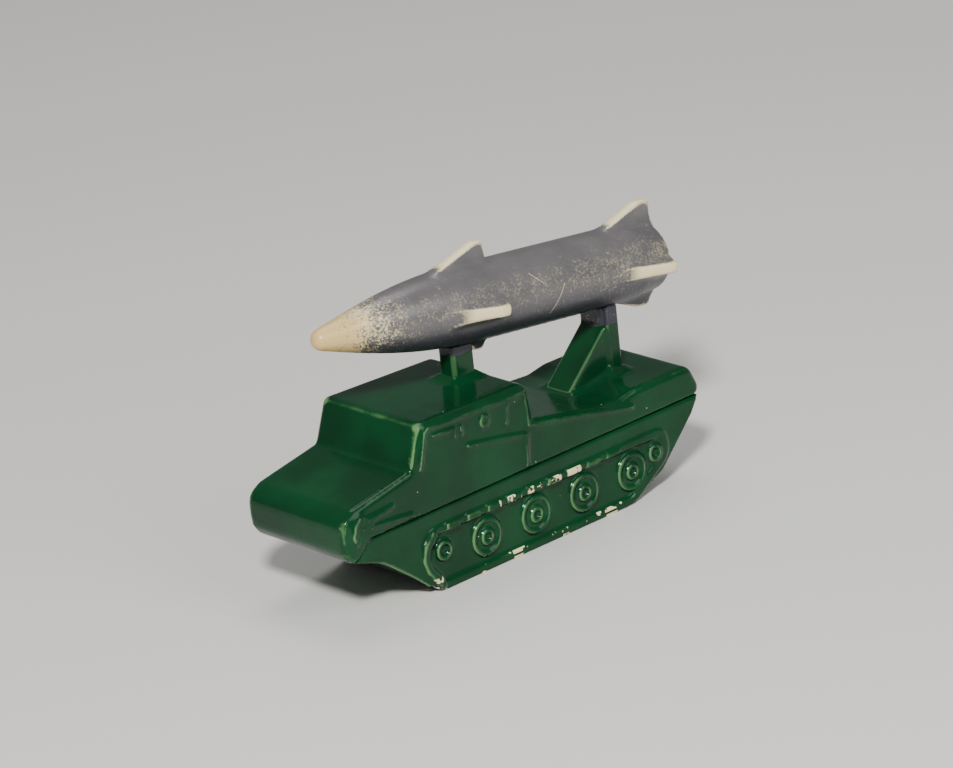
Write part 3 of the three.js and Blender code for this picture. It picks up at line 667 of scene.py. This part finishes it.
# the band in front of the first wheel, and the edge that runs up from the ground to the bow
FRONT_BAND = ((27.2, 1.6), (30.4, 5.7), (31.1, 8.0), (30.4, 10.5), (28.3, 12.5))
LOWER_EDGE = ((48.2, 17.0), (47.2, 16.0), (44.8, 14.3), (41.2, 11.7), (34.0, 5.8), (30.2, 2.3))
# the track's floor behind the wheels, and where it closes up behind the last of them
BAY = ((28.6, 4), (26.8, 1), (-27, 1), (-33, 3), (-36, 7), (-35.8, 12.3), (27.2, 12.3), (29.3, 8))
CLOSED_END = (
    (-26.9, 1.5), (-33, 3), (-37, 7.5), (-36.6, 12.4), (-30.5, 12.4), (-31, 8), (-30.2, 5),
    (-28.7, 3.4),
)


def make_track(side, hand):
    shape = start_from(f"track_unit_{hand}")

    def out(proud):
        return side * (TRACK_FACE_Y + proud)

    # thick paint bridges most of the joint with the hull
    for vert in shape.verts:
        if vert.co.z > (GROOVE_Z - 0.8) * MM:
            vert.co.z += 0.27 * MM
    for x, z, proud, radius, thickness in (*WHEEL_RINGS, IDLER_RING, SPROCKET_RING):
        hoop(shape, (x, out(proud), z), radius, thickness)
    bead(shape, [(x, out(-0.15), z) for x, z in FRONT_BAND], 1.3)
    for i in range(RAISED_LINKS):
        x = FIRST_LINK_X - i * LINK_PITCH
        back, front = x - LINK_HALF_LENGTH, x + LINK_HALF_LENGTH
        link = ((back, LINK_LOW), (front, LINK_LOW), (front, LINK_HIGH), (back, LINK_HIGH))
        plate(shape, link, out(-1), out(0.9))
    plate(shape, CLOSED_END, out(-2), out(-0.1))
    plate(shape, BAY, out(-2), out(-0.5))
    bead(shape, [(x, out(-0.25), z) for x, z in LOWER_EDGE], 0.5)
    work = skin_over("track", shape, voxel=0.28)
    relax(work, work.verts[:], rounds=4)
    fill_hollows(work, depth=200, rounds=4)
    soften_joint(work)
    mark_edges(work)
    finish(f"track_{hand}_moulding", work, f"track_unit_{hand}", green)


# ---------------------------------------------------------------- missile

NOSE_LENGTH = 0.43 * MISSILE_LENGTH
NOSE_TIP = 2.3
NOSE_BLUNTNESS = 0.242
TAIL_TAPER_LENGTH = 8
BODY_STEP = 0.9
BODY_TURNS = 96
# the hollow at the tail and its rounded lip, as places along the axis and radii
TAIL_PROFILE = (
    (4, 0), (4, 2.6), (3.6, 3.1), (0.4, 3.9), (0, 4.3), (0, TAIL_RADIUS - 0.7),
    (0.25, TAIL_RADIUS - 0.2),
)

FIN_THICKNESS = 2.6
FIN_BEVEL = 0.6
# each fin's start, root and tip, as shares of the missile's length, and its reach in missile radii
UPRIGHT_FINS = ((0.501, 0.24, 0.018), (0.003, 0.23, 0.007))
SIDE_FINS = ((0.511, 0.272, 0.018), (0.003, 0.316, 0.018))
FIN_SLOPE = 0.042
FIN_REACHES = (1.56, 1.36, 1.27, 1.36)     # top, left, bottom, right
BOTTOM = 2                                 # quarter turns from the top
# where the bottom fins stop short behind the posts
FRONT_FIN_END = 1.68
REAR_FIN_END = -36.91

KEEL_ENDS = (0.2 * MISSILE_LENGTH, 0.6 * MISSILE_LENGTH)
KEEL_RADIUS = 0.75


def body_radius(along):
    """The missile's radius at a place along it from the tail."""
    from_tip = MISSILE_LENGTH - along
    grown = TAIL_RADIUS + (MISSILE_RADIUS - TAIL_RADIUS) * min(along / TAIL_TAPER_LENGTH, 1)
    u = min(from_tip / NOSE_LENGTH, 1)
    ogive = NOSE_BLUNTNESS + (1 - NOSE_BLUNTNESS) * (1 - (1 - u) ** 2) ** 1.2
    ogive *= MISSILE_RADIUS
    if from_tip < NOSE_TIP:
        ogive = min(ogive, math.sqrt(max(NOSE_TIP ** 2 - (NOSE_TIP - from_tip) ** 2, 0)))
    return min(grown, ogive)


def add_missile_body(shape):
    """The missile's round body, spun from its profile and laid on the posts."""
    stations = list(np.arange(BODY_STEP, MISSILE_LENGTH - NOSE_TIP, BODY_STEP))
    stations += [MISSILE_LENGTH - from_tip for from_tip in (2.2, 1.6, 1.0, 0.5, 0.15)]
    profile = [*TAIL_PROFILE, *((along, body_radius(along)) for along in stations)]
    profile.append((MISSILE_LENGTH, 0))
    chain = [shape.verts.new(Vector((along, 0, radius)) * MM) for along, radius in profile]
    edges = [shape.edges.new(pair) for pair in zip(chain, chain[1:])]
    bmesh.ops.spin(
        shape, geom=chain + edges, cent=(0, 0, 0), axis=(1, 0, 0), angle=2 * math.pi,
        steps=BODY_TURNS, use_merge=True)
    bmesh.ops.remove_doubles(shape, verts=shape.verts, dist=0.001 * MM)
    bmesh.ops.transform(shape, matrix=missile_place, verts=shape.verts)


def add_fin(shape, start, root, tip, reach, turns):
    """A fin with a thick, soft edge and a root that spreads into the body."""
    inner, outer = 0.6 * MISSILE_RADIUS, reach * MISSILE_RADIUS
    corners = (
        (start, inner), (start + root, inner), (start + FIN_SLOPE, outer), (start + tip, outer))
    fin = bmesh.new()
    plate(fin, [(share * MISSILE_LENGTH, radius) for share, radius in corners],
          -FIN_THICKNESS / 2, FIN_THICKNESS / 2)
    bmesh.ops.recalc_face_normals(fin, faces=fin.faces)
    bmesh.ops.bevel(
        fin, geom=fin.edges[:], offset=FIN_BEVEL * MM, segments=3, affect="EDGES", profile=0.5,
        material=-1)
    bmesh.ops.subdivide_edges(fin, edges=fin.edges[:], cuts=4, use_grid_fill=True)
    for vert in fin.verts:
        rise = vert.co.z / MM - MISSILE_RADIUS
        vert.co.y *= 1 + 0.9 * min(max((1.8 - rise) / 2.6, 0), 1) ** 2
    turn = Matrix.Rotation(-turns * math.pi / 2, 3, "X")
    bmesh.ops.rotate(fin, verts=fin.verts, cent=(0, 0, 0), matrix=turn)
    bmesh.ops.transform(fin, matrix=missile_place, verts=fin.verts)
    if turns == BOTTOM:
        end = FRONT_FIN_END if start > 0.3 else REAR_FIN_END
        geometry = fin.verts[:] + fin.edges[:] + fin.faces[:]
        bmesh.ops.bisect_plane(
            fin, geom=geometry, plane_co=(end * MM, 0, 0), plane_no=(1, 0, 0), clear_outer=True)
        bmesh.ops.holes_fill(fin, edges=[edge for edge in fin.edges if edge.is_boundary])
    part = bpy.data.meshes.new("fin")
    fin.to_mesh(part)
    fin.free()
    shape.from_mesh(part)
    bpy.data.meshes.remove(part)


def fin_edges(work):
    """1 on the fins' narrow faces, where hands have rubbed the paint through, and 0 elsewhere."""
    to_missile = missile_place.inverted()
    places = np.array([to_missile @ v.co for v in work.verts]) / MM
    normals = np.array([to_missile.to_3x3() @ v.normal for v in work.verts])
    radius = np.hypot(places[:, 1], places[:, 2])
    stations = np.arange(math.ceil(MISSILE_LENGTH))
    body = np.interp(places[:, 0], stations, [body_radius(along) for along in stations])
    upright = np.abs(places[:, 2]) > np.abs(places[:, 1])
    flatness = np.abs(np.where(upright, normals[:, 1], normals[:, 2]))
    outside = np.clip((radius - body - 0.1) / 1.5, 0, 1)
    return outside * np.clip((0.85 - flatness) / 0.35, 0, 1)


def make_missile():
    shape = bmesh.new()
    add_missile_body(shape)
    for turns, reach in enumerate(FIN_REACHES):
        for start, root, tip in (UPRIGHT_FINS if turns % 2 == 0 else SIDE_FINS):
            add_fin(shape, start, root, tip, reach, turns)
    keel = [missile_place @ (Vector((along, 0, -MISSILE_RADIUS)) * MM) for along in KEEL_ENDS]
    bead(shape, [point / MM for point in keel], KEEL_RADIUS)
    work = skin_over("missile", shape, voxel=0.3)
    relax(work, work.verts[:], rounds=3)
    fill_hollows(work, depth=60, rounds=22)
    relax(work, work.verts[:], rounds=2)
    mark_edges(work, fin_edges(work))
    finish_halves("missile", work, silver)


# ---------------------------------------------------------------- posts and tub

POST_STRETCH = 0.9


def make_post(name, node, boundary):
    """A post, stretched past its clearance at each end so that its paint meets its neighbours.

    boundary is the height in metres where green paint gives way to silver.
    """
    shape = start_from(node)
    low, high = (corner[2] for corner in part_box(node))
    middle = (low + high) / 2
    stretch = 1 + POST_STRETCH * MM / (high - low)
    for vert in shape.verts:
        vert.co.z = middle + (vert.co.z - middle) * stretch
    work = skin_over(name, shape, voxel=0.2)
    relax(work, work.verts[:], rounds=14)
    fill_hollows(work, depth=150, rounds=10)
    mark_edges(work)
    finish(name, work, node, make_post_enamel(boundary))


def make_tub():
    work = skin_over("tub", start_from("base_tub"), voxel=0.42)
    relax(work, work.verts[:], rounds=3)
    mark_edges(work)
    finish("tub_moulding", work, "base_tub", green)


# ---------------------------------------------------------------- floor and world

def make_floor():
    """A matt, pale board that is large enough to have no edge in view."""
    shape = bmesh.new()
    bmesh.ops.create_grid(shape, x_segments=1, y_segments=1, size=1.5)
    mesh = bpy.data.meshes.new("floor")
    shape.to_mesh(mesh)
    shape.free()
    floor = bpy.data.objects.new("floor", mesh)
    bpy.context.collection.objects.link(floor)
    material, _, surface, _ = new_material("pale_studio_board")
    surface.inputs["Base Color"].default_value = BOARD_GREY
    surface.inputs["Roughness"].default_value = 0.6
    mesh.materials.append(material)


def make_world():
    world = bpy.data.worlds.new("studio")
    world.use_nodes = True
    sky = world.node_tree.nodes["Background"]
    sky.inputs["Color"].default_value = SKY_GREY
    sky.inputs["Strength"].default_value = 0.25
    bpy.context.scene.world = world


# ---------------------------------------------------------------- the toy in its studio

green = make_green_enamel()
silver = make_silver_enamel()

make_hull()
for side, hand in SIDES:
    make_track(side, hand)
make_missile()
make_post("front_post_moulding", "post_front", 41.3 * MM)
make_post("rear_post_moulding", "post_rear", 35 * MM)
make_tub()

make_camera()
make_floor()
make_world()
soft_light("key", azimuth=44, elevation=42, size=0.14, watts=12.5)
soft_light("fill", azimuth=105, elevation=35, size=0.6, watts=3)
soft_light("top", azimuth=230, elevation=65, size=0.6, watts=3)
